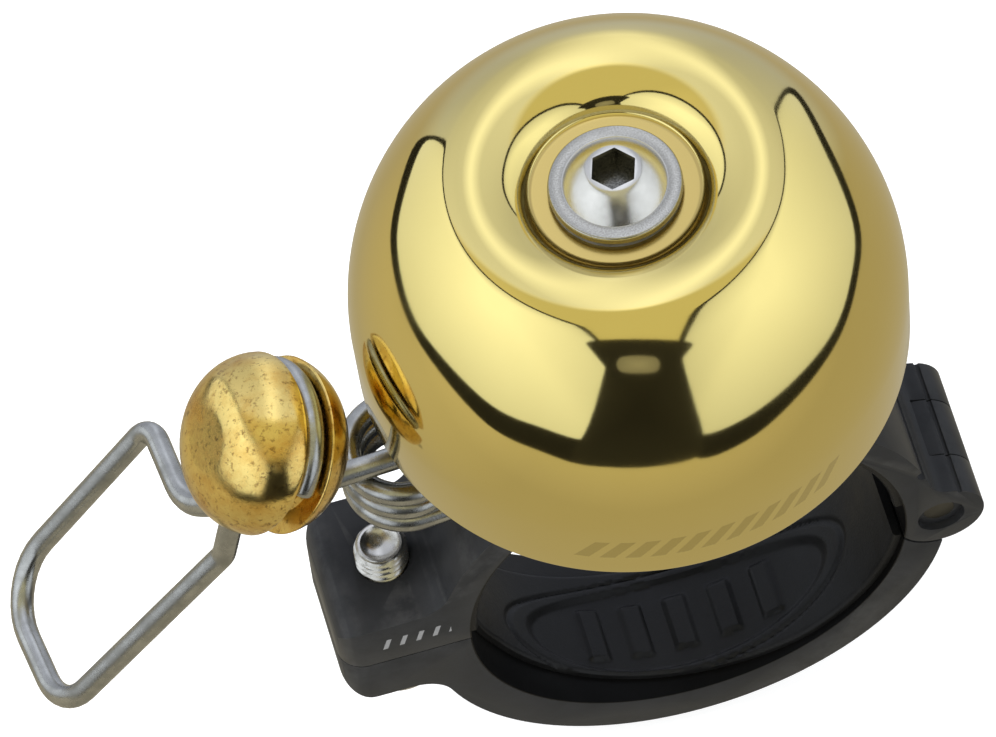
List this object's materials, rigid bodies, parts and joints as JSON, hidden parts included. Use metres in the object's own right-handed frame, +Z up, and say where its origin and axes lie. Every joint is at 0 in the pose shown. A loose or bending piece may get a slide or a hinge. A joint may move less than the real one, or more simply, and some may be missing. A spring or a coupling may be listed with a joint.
{
  "type": "bicycle bell",
  "caption": "Handlebar bell with a domed brass gong on a hinged band clamp, struck by a ball on a coiled spring wire with a finger loop.",
  "frame": {"origin": "on the handlebar's axis, in the middle of the clamp's width", "axes": "+Z up through the bell, Y along the handlebar with the clamp's front face at -Y, the striker towards -X and the hinge towards +X"},
  "size_m": [0.0713, 0.04, 0.0687],
  "materials": {
    "dome_brass": "mirror polished and lacquered",
    "screw_steel": "satin stainless",
    "washer_nylon": "matte",
    "isolator_rubber": "matte",
    "post_metal": "black oxide",
    "washer_steel": "zinc plated",
    "clamp_black": "satin black anodised",
    "liner_rubber": "matte moulded",
    "spring_steel": "drawn stainless wire",
    "ball_brass": "turned, with a brown patina",
    "set_screw_steel": "black oxide"
  },
  "bodies": {
    "mounting": {"clamp_base": "clamp_black", "liner_upper": "liner_rubber", "hinge_pin": "screw_steel", "center_post": "post_metal", "post_lock_washer": "washer_steel", "dome_isolator": "isolator_rubber", "bell_dome": "dome_brass", "dome_top_washer": "washer_nylon", "dome_screw": "screw_steel", "striker_coil": "spring_steel", "spring_set_screw": "set_screw_steel"},
    "striker": {"striker_lever": "spring_steel", "striker_ball": "ball_brass"},
    "strap": {"clamp_strap": "clamp_black", "liner_lower": "liner_rubber"},
    "pinch_screw": {"clamp_screw": "screw_steel", "clamp_screw_washer": "washer_steel"}
  },
  "joints": [
    {"name": "striker_flex", "type": "hinge", "parent": "mounting", "child": "striker", "pos_m": [-0.02427, -0.00122, 0.02], "axis": [0.0523, -0.9986, 0], "range_deg": [-8, 22], "stiffness_Nm_per_rad": 0.05},
    {"name": "screw_release", "type": "slide", "parent": "mounting", "child": "pinch_screw", "axis": [0, 0, -1], "range_m": [0, 0.006]},
    {"name": "strap_hinge", "type": "hinge", "parent": "mounting", "child": "strap", "pos_m": [0.0193, 0, -0.0011], "axis": [0, -1, 0], "range_deg": [0, 7.6]}
  ],
  "couplings": [
    {"joint": "strap_hinge", "follows": "screw_release", "rad_per_m": 22}
  ]
}
